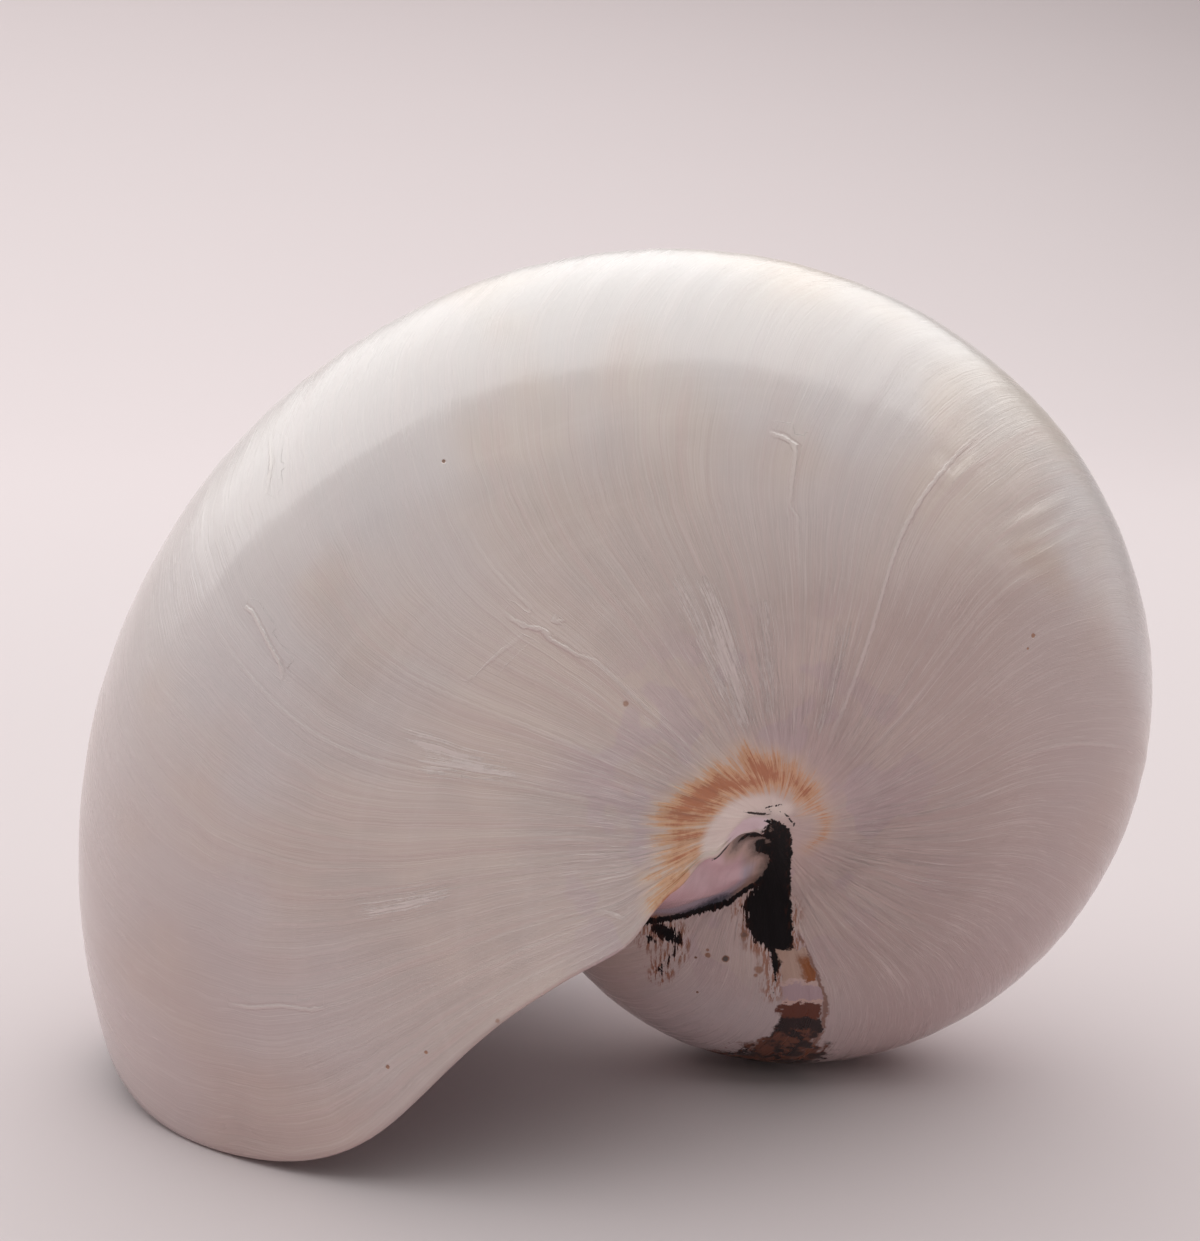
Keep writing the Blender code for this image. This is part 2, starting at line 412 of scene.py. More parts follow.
def build_skin():
    t, side = columns()
    mesh = Skin()
    is_open = np.flatnonzero(t > HORN_T - 1e-9)
    t_open, side_open = t[is_open], side[is_open]

    ages = skin_ages()
    rows = []
    for age in ages:
        angle, radius, width, u = skin(np.full(len(t), age), t)
        rows.append(mesh.row(mesh.add(world(angle, radius, width, side)), age, u))
    mesh.bridge(rows, OUTSIDE)

    walls, floors, septa = build_chamber(mesh, np.array(rows[0].ids)[is_open], t_open, side_open)
    for sheet, slot in ((walls, INSIDE), (floors, OUTSIDE), (septa, INSIDE)):
        mesh.bridge(sheet, slot)

    rims = build_rim(mesh, rows, walls[0], t, side, is_open)
    mesh.bridge(rims, OUTSIDE)

    for column, flank in ((0, -1.0), (-1, 1.0)):
        pole = mesh.add(world(np.zeros(1), np.zeros(1), np.full(1, PLUG_WIDTH), flank))
        ring = rows + rims[1:]
        for near, far in zip(ring, ring[1:]):
            middle = mesh.row(pole, math.radians(near.age), 0.0)
            mesh.face(((near, column), (far, column), (middle, 0)), OUTSIDE)
    return mesh


def build_chamber(mesh, first_ids, t, side):
    """Rows of the body chamber: outer wall, previous whorl's surface and last septum."""
    depths = -math.radians(CHAMBER_ANGLE) * np.linspace(0.0, 1.0, CHAMBER_ROWS + 1) ** DEPTH_POWER
    floor_us = old_u(t)
    walls, floors = [], [mesh.row(first_ids, -TURN, floor_us)]
    for i, depth in enumerate(depths):
        full_depth = np.full(len(t), depth)
        place = world(*wall_row(full_depth, t), side)
        if i == 0:
            walls.append(mesh.row(mesh.add_between(first_ids, place), depth, t))
            continue
        wall = mesh.add(place)
        angle, radius, width, _ = skin(full_depth - TURN, t)
        floor = mesh.add_between(wall, world(angle, radius, width + FILM_LIFT / UNIT_MM, side))
        walls.append(mesh.row(wall, depth, t))
        floors.append(mesh.row(floor, depth - TURN, floor_us))

    wall_end = wall_row(full_depth, t)
    angle, radius, width, _ = skin(full_depth - TURN, t)
    floor_end = (angle + TURN, radius, width)
    ends = np.array(walls[-1].ids)
    septa = [walls[-1]]
    for i in range(1, SEPTUM_ROWS):
        place = world(*septum(i / SEPTUM_ROWS, wall_end, floor_end, t), side)
        septa.append(mesh.row(mesh.add_between(ends, place), depths[-1], t))
    septa.append(mesh.row(np.array(floors[-1].ids), depths[-1], t))
    return walls, floors, septa


def build_rim(mesh, rows, wall, t, side, is_open):
    """Rows round the lip's edge, from the skin's last row to the chamber wall or the previous whorl."""
    angle, radius, width, _ = skin(np.full(len(t), -TURN), t)
    ends = zip((angle + TURN, radius, width), wall_row(np.zeros(len(t)), t))
    end = [np.where(t > HORN_T, at_wall, tucked) for tucked, at_wall in ends]
    last_ids = np.array(rows[0].ids)
    last_ids[is_open] = wall.ids
    rims = [mesh.row(np.array(rows[-1].ids), 0.0, t)]
    for i in range(1, RIM_ROWS):
        rims.append(mesh.row(mesh.add(world(*rim(i / RIM_ROWS, t, end), side)), 0.0, t))
    rims.append(mesh.row(last_ids, 0.0, t))
    return rims


def add_object(name, data):
    made = bpy.data.objects.new(name, data)
    bpy.context.scene.collection.objects.link(made)
    return made


def make_object(skin_mesh):
    place = np.concatenate(skin_mesh.places)
    mesh = bpy.data.meshes.new("shell_skin")
    mesh.from_pydata(place.tolist(), [], skin_mesh.faces)
    mesh.polygons.foreach_set("material_index", skin_mesh.slots)
    shell = add_object("shell_skin", mesh)
    bpy.context.view_layer.objects.active = shell
    shell.select_set(True)
    bpy.ops.object.mode_set(mode="EDIT")
    bpy.ops.mesh.select_all(action="SELECT")
    bpy.ops.mesh.normals_make_consistent(inside=False)
    bpy.ops.object.mode_set(mode="OBJECT")
    mesh.shade_smooth()
    return shell


# ---- marks, painted as smooth fields on the skin; the materials give them their fine edges ----
# Each chain is a row of (x, z, half-width) in millimetres, picked in the photo, cast back onto the
# shell and then adjusted; the far side mirrors most of them. A half-width below zero leaves only the
# mark's faint fringe. For scars, cracks and creases the third number is the line's strength.
FAR_OUTSIDE = -9.0            # mm, a patch's value away from it
FAR_ACROSS = 9.0              # mm, a line's value away from it
OLD_AGE = -200.0              # degrees; older places take the marks in front of the lip
FIRST_AGE = -359.0            # degrees; the relief starts just above the skin's first row
FILM_CHAINS = (
    ((17.9, 49.0, 0.15), (18.7, 48.8, 0.45), (19.8, 48.1, 0.8), (20.8, 46.6, 1.1), (21.3, 45.0, 1.2),
     (21.4, 42.8, 1.5), (21.4, 39.9, 1.7), (21.2, 36.9, 2.3), (21.0, 32.9, 3.0), (21.3, 29.3, 3.1),
     (22.9, 26.8, 1.9), (22.4, 24.3, 0.9), (22.4, 22.0, 0.3), (22.4, 18.5, 0.05)),
    ((17.1, 47.2, 0.0), (17.8, 47.9, 0.3), (18.4, 48.2, 0.5), (18.3, 47.3, 0.7), (18.6, 46.6, 0.6)),
    ((18.0, 44.7, 0.8), (18.7, 43.4, 1.1), (20.7, 43.5, 1.7)),
    ((19.6, 46.8, 0.75), (19.9, 46.0, 1.0), (20.7, 44.5, 1.2)),
    ((14.2, 45.0, 0.0), (15.0, 46.1, 0.3), (16.0, 46.6, 0.45), (17.6, 46.4, 0.6), (19.1, 46.2, 0.9)),
    ((20.4, 34.5, 2.4), (19.3, 32.1, 2.0), (19.8, 29.4, 1.7)),
    ((5.4, 27.9, 0.8), (7.4, 27.0, 1.2), (8.3, 26.3, 0.7)),
    ((8.1, 25.0, 0.25), (7.9, 24.0, 0.4), (7.1, 22.8, 0.25), (6.2, 21.2, 0.4), (6.0, 19.8, 0.2)),
    ((3.9, 26.3, 0.4), (4.8, 25.7, 0.4)),
)
CALLUS_FOOT = (
    (0.0, 28.2), (3.0, 28.8), (5.4, 29.4), (7.8, 30.1), (10.4, 31.2),
    (13.0, 32.1), (15.2, 32.9), (17.2, 35.2), (19.8, 38.0),
)
CALLUS_END_X = 20.2
RUST_CHAINS = (
    ((14.1, 58.6, 0.5), (15.8, 57.1, 1.4), (17.8, 55.9, 2.0), (19.7, 54.7, 1.4)),
    ((21.1, 55.9, 0.6), (21.9, 54.0, 1.2), (23.8, 52.2, 1.2), (24.3, 50.8, 0.6)),
    ((18.2, 54.9, 1.2), (14.4, 54.7, 1.6), (11.2, 55.1, 1.9), (9.0, 53.4, 2.0), (6.8, 52.2, 1.8),
     (4.4, 51.6, 0.9), (2.8, 51.5, -0.4)),
    ((11.6, 52.8, 1.0), (9.0, 51.6, 1.5), (6.0, 51.0, 1.3)),
    ((9.0, 48.8, 0.7), (6.4, 48.7, 1.3), (4.0, 48.3, 0.3)),
    ((8.5, 46.6, 0.6), (5.8, 46.2, 1.2), (4.0, 45.9, 0.3)),
    ((6.6, 43.8, 0.7), (4.6, 43.4, 0.9), (1.8, 44.0, -0.3)),
    ((5.6, 42.2, 0.7), (3.6, 40.9, 0.7)),
    ((22.6, 52.3, -0.4), (25.2, 50.6, -0.1), (27.0, 47.9, -0.2), (26.9, 45.2, -0.3), (25.0, 43.5, -0.6)),
)
CREAM_RIM = (
    ((10.2, 45.4, 0.7), (10.8, 47.2, 1.2), (11.4, 48.5, 1.3), (12.3, 49.6, 1.3), (13.4, 50.5, 1.2),
     (14.8, 51.3, 1.0), (16.4, 51.5, 0.8), (18.6, 51.4, 0.7), (21.0, 50.2, 0.5)),
)
LILAC_BAND = (
    ((13.1, 47.3, 0.4), (14.2, 48.1, 0.7), (15.3, 48.7, 0.9), (16.6, 48.9, 0.9), (17.8, 48.7, 0.8),
     (18.6, 47.9, 0.5)),
)
CRACKS = (
    ((15.5, 50.5, 1.2), (16.9, 50.1, 1.6), (18.0, 49.9, 1.2)),
    ((17.0, 50.8, 0.7), (17.9, 50.6, 0.75), (18.4, 50.8, 0.75), (19.8, 50.9, 0.7)),
    ((20.5, 49.7, 0.65), (21.5, 49.0, 0.8), (21.9, 48.2, 0.8), (22.4, 47.9, 0.8), (22.2, 47.2, 0.65)),
)
SCARS = (
    ((-51.1, 76.9, 0.0), (-49.2, 75.9, 1.0), (-47.6, 73.6, 1.0), (-46.6, 71.8, 1.0), (-44.9, 69.5, 1.0),
     (-44.7, 67.0, 0.0)),
    ((-17.1, 78.1, 0.0), (-14.6, 76.3, 1.0), (-12.2, 75.8, 1.0), (-10.8, 76.6, 0.6)),
    ((-12.2, 75.8, 0.9), (-10.4, 74.3, 0.9), (-8.0, 73.2, 0.8), (-4.7, 70.4, 0.0)),
    ((-12.6, 75.4, 0.0), (-18.5, 71.0, 0.7), (-23.2, 66.4, 0.0)),
    ((16.5, 100.4, 0.0), (18.9, 99.8, 0.8), (20.9, 98.4, 1.0), (20.4, 95.6, 1.0), (20.1, 92.8, 0.8),
     (19.4, 88.2, 0.0)),
    ((-48.6, 98.0, 0.0), (-47.6, 93.7, 0.9), (-48.0, 89.4, 0.0)),
    ((-53.9, 24.2, 0.0), (-49.6, 24.4, 0.7), (-45.4, 25.4, 0.7), (-41.2, 25.4, 0.7), (-38.6, 26.3, 0.0)),
    ((-4.2, 40.5, 0.0), (-2.3, 39.9, 0.9), (0.0, 38.8, 0.0)),
    ((59.2, 35.6, 0.0), (60.6, 34.3, 0.9), (62.0, 33.0, 0.0)),
)
VENTER_CREASES = (
    ((50.6, 88.4, 0.6), (54.3, 89.8, 1.0), (58.4, 91.1, 0.6)),
    ((52.6, 86.0, 0.7), (55.6, 86.8, 1.0), (59.2, 88.4, 0.7)),
    ((50.9, 83.4, 0.6), (55.3, 84.8, 1.2), (60.2, 86.5, 0.8)),
    ((50.2, 80.5, 0.4), (54.1, 82.0, 0.6), (57.6, 83.6, 0.4)),
    ((40.3, 95.9, 0.6), (41.0, 95.0, 0.8), (42.4, 94.9, 0.9), (43.6, 96.2, 0.7)),
)
CHALK = (
    ((8.8, 81.2, 0.8), (10.4, 76.5, 1.6), (12.0, 70.5, 2.0), (14.4, 63.2, 1.3)),
    ((5.4, 80.6, 0.6), (8.6, 73.6, 1.0), (11.4, 66.6, 0.8)),
    ((16.6, 78.2, 0.5), (17.0, 71.0, 0.9), (17.6, 64.4, 0.7)),
    ((27.5, 75.0, 0.4), (26.2, 68.0, 0.7), (24.6, 61.6, 0.6)),
    ((-27.1, 61.0, 1.3), (-23.4, 59.2, 1.8), (-16.3, 57.4, 1.2)),
    ((-26.2, 57.8, 0.9), (-20.9, 58.4, 1.2)),
    ((-34.0, 39.2, 0.9), (-29.5, 40.1, 1.2), (-24.3, 42.0, 0.9)),
)
STAIN = (((52.6, 84.6, 1.4), (56.4, 82.4, 2.4), (58.6, 79.6, 1.6)),)
GROWTH_SCARS = (              # age in degrees, first and last section coordinate, strength
    (-141.0, 0.2, 0.72, 1.0),
    (-122.5, 0.36, 0.6, 0.5),
    (-100.0, 0.3, 0.6, 0.3),
    (-76.0, 0.2, 0.6, 0.35),
    (-58.0, 0.25, 0.6, 0.3),
    (-46.0, 0.25, 0.75, 0.3),
    (-162.0, 0.25, 0.65, 0.35),
    (-194.0, 0.45, 0.75, 0.5),
    (-28.0, 0.2, 0.6, 0.25),
)


def strokes(x, z, chain):
    """For each stroke of a chain: the places' distance and side, and the third number nearest to them."""
    for (x0, z0, w0), (x1, z1, w1) in zip(chain, chain[1:]):
        dx, dz = x1 - x0, z1 - z0
        share = np.clip(((x - x0) * dx + (z - z0) * dz) / (dx * dx + dz * dz), 0.0, 1.0)
        distance = np.hypot(x - x0 - share * dx, z - z0 - share * dz)
        yield distance, (x - x0) * dz - (z - z0) * dx, mix(w0, w1, share)


def inside_chains(x, z, chains, allowed):
    """How far each place lies inside chains of round strokes, in millimetres; negative outside."""
    best = np.full(len(x), FAR_OUTSIDE)
    for chain in chains:
        for distance, _, half_width in strokes(x, z, chain):
            best = np.maximum(best, half_width - distance)
    return np.where(allowed, best, FAR_OUTSIDE)


def across_chain(x, z, chain):
    """Distance to the nearest stroke of a chain, below zero on its other side, and the stroke's strength."""
    signed = np.full(len(x), np.inf)
    strength = np.zeros(len(x))
    for distance, side, stroke_strength in strokes(x, z, chain):
        closer = distance < np.abs(signed)
        signed = np.where(closer, np.copysign(distance, side), signed)
        strength = np.where(closer, stroke_strength, strength)
    return signed, strength


def plug_distance(x, z):
    """Millimetres from the umbilicus, seen from the side."""
    return np.hypot(x - PLUG.x / MM, z - PLUG.z / MM)


class Marks:
    """The corners' places in millimetres and the fields painted on them."""

    def __init__(self, skin_mesh):
        self.ids = np.array([v for face in skin_mesh.faces for v in face])
        self.co = np.concatenate(skin_mesh.places) / MM
        self.x, self.y, self.z = self.co[self.ids].T
        self.age = np.array(skin_mesh.corner_ages)
        self.u = np.array(skin_mesh.corner_us)
        self.near = self.y < 0.0
        self.old = self.age < OLD_AGE
        self.last = ~self.old
        self.reach = plug_distance(self.x, self.z)
        self.ridge = np.zeros(len(self.ids))
        self.fields = {"age": self.age, "section": self.u}

    def patches(self, name, chains, allowed, far_change):
        field = inside_chains(self.x, self.z, chains, allowed)
        self.fields[name] = np.where(self.near, field, field + far_change)

    def callus(self):
        foot = np.interp(self.x, *zip(*CALLUS_FOOT))
        field = np.minimum((self.z - foot) * 0.85, CALLUS_END_X - self.x)
        self.fields["callus"] = np.where(self.old & (self.x < 30.0), field, FAR_OUTSIDE)

    def lay(self, name, signed, window):
        """Keeps a line's signed distance wherever the line shows more than those before it."""
        shown = self.fields[name + "_near"]
        self.fields[name] = np.where(window > shown, signed, self.fields[name])
        self.fields[name + "_near"] = np.maximum(shown, window)

    def lines(self, name, chains, allowed, reach):
        """Signed distance across the nearest line, and how strongly it shows."""
        self.fields[name] = np.full(len(self.ids), FAR_ACROSS)
        self.fields[name + "_near"] = np.zeros(len(self.ids))
        for chain in chains:
            signed, strength = across_chain(self.x, self.z, chain)
            self.lay(name, signed, strength * fade(np.abs(signed), 0.6 * reach, 0.4 * reach) * allowed)

    def lip_gap_shade(self):
        """Adds painted shade in the gap between the rolled band and the callus to the cracks' field, as a
        dark line.
        """
        behind = np.radians(self.age + 360.0) * self.reach
        hidden = np.interp(self.u, (0.0, 0.06, 0.12, 0.15), (0.9, 0.8, 0.8, 1.2))
        window = (self.old & (self.age >= -360.5)) * fade(self.u, 0.17, 0.05)
        window = 1.8 * window * fade(behind - hidden, 0.6, 0.5)
        chosen = window > 0.01
        across = np.maximum(behind - hidden, 0.0)
        self.fields["crack"] = np.where(chosen, across, self.fields["crack"])
        self.fields["crack_near"] = np.where(chosen, window, self.fields["crack_near"])

    def growth_scars(self):
        for line_age, first_u, last_u, strength in GROWTH_SCARS:
            signed = np.radians(self.age - line_age) * self.reach
            ends = smooth((self.u - first_u) / 0.12) * fade(self.u - last_u, -0.12, 0.12)
            window = strength * ends * fade(np.abs(signed), 1.2, 0.9)
            self.lay("scar", signed, window * np.where(self.near, 1.0, 0.8))
            step = np.tanh(signed / 0.8) * np.exp(-(signed / 4.0) ** 2)
            self.ridge += 0.05 * strength * ends * step

    def creases(self):
        allowed = self.near & self.last
        for chain in VENTER_CREASES:
            signed, strength = across_chain(self.x, self.z, chain)
            ends = strength * fade(np.abs(signed), 1.6, 1.4)
            self.ridge += 0.22 * np.tanh(signed / 0.45) * np.exp(-(signed / 1.5) ** 2) * ends * allowed
        crest = np.exp(-(self.fields["scar"] / 0.8) ** 2) * self.fields["scar_near"]
        self.ridge += 0.06 * crest

    def write(self, mesh):
        for name, values in self.fields.items():
            layer = mesh.attributes.new(name, "FLOAT", "CORNER")
            layer.data.foreach_set("value", values.astype(np.float32))


def paint(shell, skin_mesh):
    marks = Marks(skin_mesh)
    near_last = marks.near & marks.last
    marks.patches("film", FILM_CHAINS, (marks.age < -100.0) | (marks.reach < 3.4), -0.35)
    marks.callus()
    marks.patches("rust", RUST_CHAINS, marks.age > -262.0, -0.5)
    marks.patches("cream", CREAM_RIM, marks.last, 0.0)
    marks.patches("lilac", LILAC_BAND, marks.last, 0.0)
    marks.patches("chalk", CHALK, marks.last, -1.5)
    marks.patches("stain", STAIN, near_last, 0.0)
    marks.lines("scar", SCARS, near_last, 1.7)
    marks.growth_scars()
    marks.lines("crack", CRACKS, marks.last, 1.0)
    # painted shade: the gap under the rolled band joins the real cracks as one black line
    marks.lip_gap_shade()
    marks.creases()
    marks.write(shell.data)
    return marks


def shape_surface(shell, marks):
    """Moves the skin along its normals: growth ripples, creases, and the scars' ridges."""
    mesh = shell.data
    co = marks.co
    at_vertex = np.zeros((3, len(co)))
    at_vertex[:, marks.ids] = marks.age, marks.u, marks.ridge
    age, u, ridge = at_vertex
    moves = (age > FIRST_AGE) & (age < 0.0)
    normals = np.empty(co.size, np.float32)
    mesh.vertex_normals.foreach_get("vector", normals)
    normals = normals.reshape(-1, 3)
    reach = plug_distance(co[:, 0], co[:, 2])
    ripple = np.zeros(len(co))
    for i in np.flatnonzero(moves):
        side = 3.0 if co[i, 1] < 0.0 else 9.0
        wave = noise.noise(Vector((age[i] * 0.36, u[i] * 1.6, side)))
        fine_wave = noise.noise(Vector((age[i] * 0.9, u[i] * 3.0, side + 5.0)))
        slow = noise.noise(Vector(co[i]) * 0.045)
        dent = noise.noise(Vector(co[i]) * 0.11)
        ripple[i] = 0.085 * wave + 0.03 * fine_wave + 0.14 * slow + 0.05 * dent
    calm = smooth(-age / 3.0) * smooth((age - FIRST_AGE) / 8.0)
    lift = (ripple * smooth(reach / 14.0) + ridge) * calm * moves
    moved = (co + normals * lift[:, None]) * MM
    mesh.vertices.foreach_set("co", moved.astype(np.float32).ravel())
    mesh.update()


# ---- materials ----
class Graph:
    """Short calls that add nodes to one node tree and wire them up."""

    def __init__(self, owner, shader="Principled BSDF"):
        owner.use_nodes = True
        self.tree = owner.node_tree
        self.shader = self.tree.nodes[shader]

    def put(self, socket, value):
        if isinstance(value, bpy.types.NodeSocket):
            self.tree.links.new(value, socket)
        elif isinstance(value, tuple) and socket.type == "RGBA":
            socket.default_value = (*value, 1.0)
        else:
            socket.default_value = value

    def fill(self, node, inputs):
        """Wires sockets to a node's inputs and sets plain values on them directly."""
        for name, value in inputs.items():
            self.put(node.inputs[name], value)

    def node(self, kind, inputs, **settings):
        made = self.tree.nodes.new("ShaderNode" + kind)
        for name, value in settings.items():
            setattr(made, name, value)
        self.fill(made, inputs)
        return made

    def math(self, operation, *values):
        return self.node("Math", dict(enumerate(values)), operation=operation).outputs[0]

    def fold(self, operation, values):
        total = values[0]
        for value in values[1:]:
            total = self.math(operation, total, value)
        return total

    def add(self, *values):
        return self.fold("ADD", values)

    def times(self, *values):
        return self.fold("MULTIPLY", values)

    def most(self, *values):
        return self.fold("MAXIMUM", values)

    def scaled(self, value, factor, start):
        return self.math("MULTIPLY_ADD", value, factor, start)

    def minus(self, a, b):
        return self.math("SUBTRACT", a, b)

    def spread(self, value, amount):
        """A 0 to 1 noise value turned into one that swings round 0."""
        return self.scaled(value, amount, -0.5 * amount)

    def step(self, value, low, high):
        """0 at low, 1 at high, smooth between; low may lie above high."""
        inputs = {"Value": value, "From Min": low, "From Max": high}
        made = self.node("MapRange", inputs, interpolation_type="SMOOTHSTEP")
        return made.outputs["Result"]

    def line(self, value, half_width):
        """1 where the value crosses 0, fading to 0 at half_width."""
        return self.step(self.math("ABSOLUTE", value), half_width, half_width * 0.3)

    def field(self, name):
        return self.node("Attribute", {}, attribute_name=name).outputs["Fac"]

    def vector(self, x, y, z):
        return self.node("CombineXYZ", {"X": x, "Y": y, "Z": z}).outputs[0]

    def noise(self, place, scale, detail=2.0, roughness=0.5):
        inputs = {"Vector": place, "Scale": scale, "Detail": detail, "Roughness": roughness}
        return self.node("TexNoise", inputs).outputs["Fac"]

    def distance(self, place, spot):
        return self.node("VectorMath", {0: place, 1: spot}, operation="DISTANCE").outputs["Value"]

    def blend(self, share, a, b, amount=None):
        """From a to b by the share, which the amount scales down if it is given."""
        if amount is not None:
            share = self.times(share, amount)
        return self.node("Mix", {0: share, 6: a, 7: b}, data_type="RGBA").outputs[2]

    def bump(self, height):
        return self.node("Bump", {"Height": height, "Distance": MM}).outputs["Normal"]


CREAM = (0.8, 0.725, 0.64)
LILAC_GREY = (0.68, 0.627, 0.572)
PALE_PINK = (0.745, 0.64, 0.585)
CHALK_WHITE = (0.9, 0.86, 0.81)
SHADE_LINE = (0.46, 0.37, 0.33)
KEEL_CREAM = (0.82, 0.77, 0.69)
SHEEN_WHITE = (0.76, 0.765, 0.775)
ROSY = (0.7, 0.545, 0.515)
THIN_MAUVE = (0.66, 0.55, 0.59)
FLANK_SHADE_TONE = (0.565, 0.455, 0.415)
RUST = (0.54, 0.145, 0.02)
RUST_PALE = (0.82, 0.42, 0.15)
RUST_GROUND = (0.86, 0.7, 0.53)
STAIN_BROWN = (0.55, 0.36, 0.2)
FILM_BLACK = (0.006, 0.005, 0.006)
FILM_BROWN = (0.075, 0.024, 0.014)
CALLUS_PINK = (0.94, 0.71, 0.76)
CALLUS_MAUVE = (0.84, 0.61, 0.65)
CALLUS_TAN = (0.6, 0.44, 0.33)
CALLUS_PALE_BLUE = (0.66, 0.64, 0.75)
CALLUS_SLATE = (0.055, 0.06, 0.1)
BAND_LILAC_AND_LIGHT = (0.92, 0.75, 0.81)
RIM_CREAM_AND_LIGHT = (1.0, 0.91, 0.82)
CRACK_AND_SHADE_BLACK = (0.035, 0.018, 0.015)
FILM_SHINE = (0.3, 0.28, 0.28)
FILM_SEEPAGE = (0.1, 0.065, 0.05)
LIP_SHADOW = (0.09, 0.05, 0.035)
FRINGE_BROWN = (0.38, 0.13, 0.035)
CHAMBER_DUSK = (0.1, 0.07, 0.06)
STRIP_OCHRE = (0.68, 0.54, 0.43)
STRIP_RUST = (0.38, 0.14, 0.04)
STRIP_EDGE = (0.24, 0.085, 0.03)
STRIP_BLACK = (0.03, 0.013, 0.012)
STRIP_BROWN = (0.19, 0.075, 0.042)
SPECK_RING = (0.42, 0.21, 0.11)
SPECK_HEART = (0.07, 0.03, 0.02)
WALL_CREAM = (0.76, 0.7, 0.66)
WALL_ROSE = (0.7, 0.6, 0.62)
WALL_GREEN = (0.68, 0.71, 0.69)


class Surface(Graph):
    """A graph with the coordinates that the shell's materials share."""

    def __init__(self, name):
        self.material = bpy.data.materials.new(name)
        super().__init__(self.material)
        coordinates = self.node("TexCoord", {}).outputs["Object"]
        scaled = self.node("VectorMath", {0: coordinates, "Scale": 1.0 / MM}, operation="SCALE")
        self.place = scaled.outputs[0]
        split = self.node("SeparateXYZ", {"Vector": self.place})
        self.x, self.y, self.z = (split.outputs[i] for i in range(3))
        self.age = self.field("age")
        self.u = self.field("section")
        self.is_near = self.step(self.y, 0.5, -0.5)
        self.side_shift = self.times(self.is_near, 40.0)
        self.flat = self.vector(self.x, 0.0, self.z)
        self.reach = self.distance(self.flat, (PLUG.x / MM, 0.0, PLUG.z / MM))
        self.cloud = self.noise(self.place, 0.04, 3.0, 0.55)
        self.growth = self.add(self.age, self.spread(self.cloud, 4.0))
        self.grain = self.noise(self.place, 1.2, 3.0, 0.7)

    def grit(self, amount):
        return self.spread(self.grain, amount)

    def streaks(self, per_degree, along, detail, roughness=0.6):
        """Noise drawn out along the growth lines."""
        place = self.vector(self.times(self.growth, per_degree), self.times(self.u, along), self.side_shift)
        return self.noise(place, 1.0, detail, roughness)


def outside_material():
    s = Surface("polished_nacre")
    coarse = s.streaks(0.6, 2.0, 2.0)
    fine = s.streaks(4.2, 3.0, 3.0, 0.75)
    hairline = s.line(s.minus(s.streaks(2.2, 4.0, 1.0), 0.5), 0.035)
    lined = s.step(s.reach, 4.0, 18.0)
    fine = s.scaled(s.spread(fine, 1.0), lined, 0.5)
    hairline = s.times(hairline, lined)
    spiral = s.noise(s.vector(s.times(s.u, 60.0), s.times(s.age, 0.03), s.side_shift), 1.0, 2.0, 0.6)

    colour = nacre_colour(s, coarse, fine, hairline, spiral)
    rough_zone = s.times(s.step(s.reach, 36.0, 13.0), s.step(s.age, -262.0, -215.0))
    flecks = s.streaks(2.2, 14.0, 3.0, 0.75)
    fan = s.times(s.step(flecks, 0.56, 0.64), rough_zone)
    chalk = s.add(s.field("chalk"), s.spread(flecks, 7.0), s.spread(fine, 8.0), s.grit(2.5))
    chalk = s.step(chalk, 0.1, 0.9)
    pale = s.most(s.times(fan, 0.55), s.times(chalk, 0.9))
    colour = s.blend(pale, colour, CHALK_WHITE)
    colour = lip_colours(s, colour, flecks)
    colour, black = callus_and_film(s, colour)
    colour, strip = brown_strip(s, colour)
    colour, dots = specks(s, colour)

    groove, crest = scar_lines(s)
    # painted shade in the scars' grooves and painted highlight on their crests
    colour = s.blend(groove, colour, SHADE_LINE, 0.18)
    colour = s.blend(crest, colour, CHALK_WHITE, 0.55)
    # black line of the real cracks, which also paints the shade in the gap under the rolled band
    crack = s.times(s.line(s.add(s.field("crack"), s.grit(0.3)), 0.22), s.field("crack_near"))
    dashes = s.add(s.grit(1.4), s.spread(s.noise(s.place, 2.8, 1.0), 1.8))
    crack = s.times(s.step(s.add(crack, dashes), 0.5, 0.75), s.step(crack, 0.1, 0.3))
    colour = s.blend(crack, colour, CRACK_AND_SHADE_BLACK)

    unpolished = s.step(s.reach, 44.0, 12.0)
    relief = s.add(
        s.times(s.spread(coarse, 0.04), lined),
        s.times(s.spread(fine, 1.0), s.scaled(unpolished, 0.025, 0.048)),
        s.times(hairline, s.scaled(unpolished, 0.03, 0.006)),
        s.times(spiral, 0.008),
        s.times(pale, 0.03),
        s.times(groove, -0.035),
        s.times(crest, 0.09),
        s.times(s.most(black, strip), 0.03),
        s.times(s.most(dots, crack), -0.1),
    )
    normal = s.bump(relief)
    dull = s.add(s.times(unpolished, 0.1), s.times(pale, 0.25), s.times(black, 0.25))
    worn_keel = s.scaled(s.step(s.u, 0.72, 1.0), -0.3, 0.62)
    s.fill(s.shader, {
        "Base Color": colour,
        "Roughness": s.add(0.26, dull, s.spread(s.cloud, 0.1), s.spread(coarse, 0.12)),
        "Normal": normal,
        "Coat Normal": normal,
        "Coat Weight": s.times(s.minus(1.0, s.most(black, crack, strip)), worn_keel),
        "Specular Tint": s.blend(black, (1.0, 1.0, 1.0), FILM_SHINE),
        "IOR": 1.5,
        "Coat IOR": 1.9,
        "Coat Roughness": 0.06,
    })
    return s.material


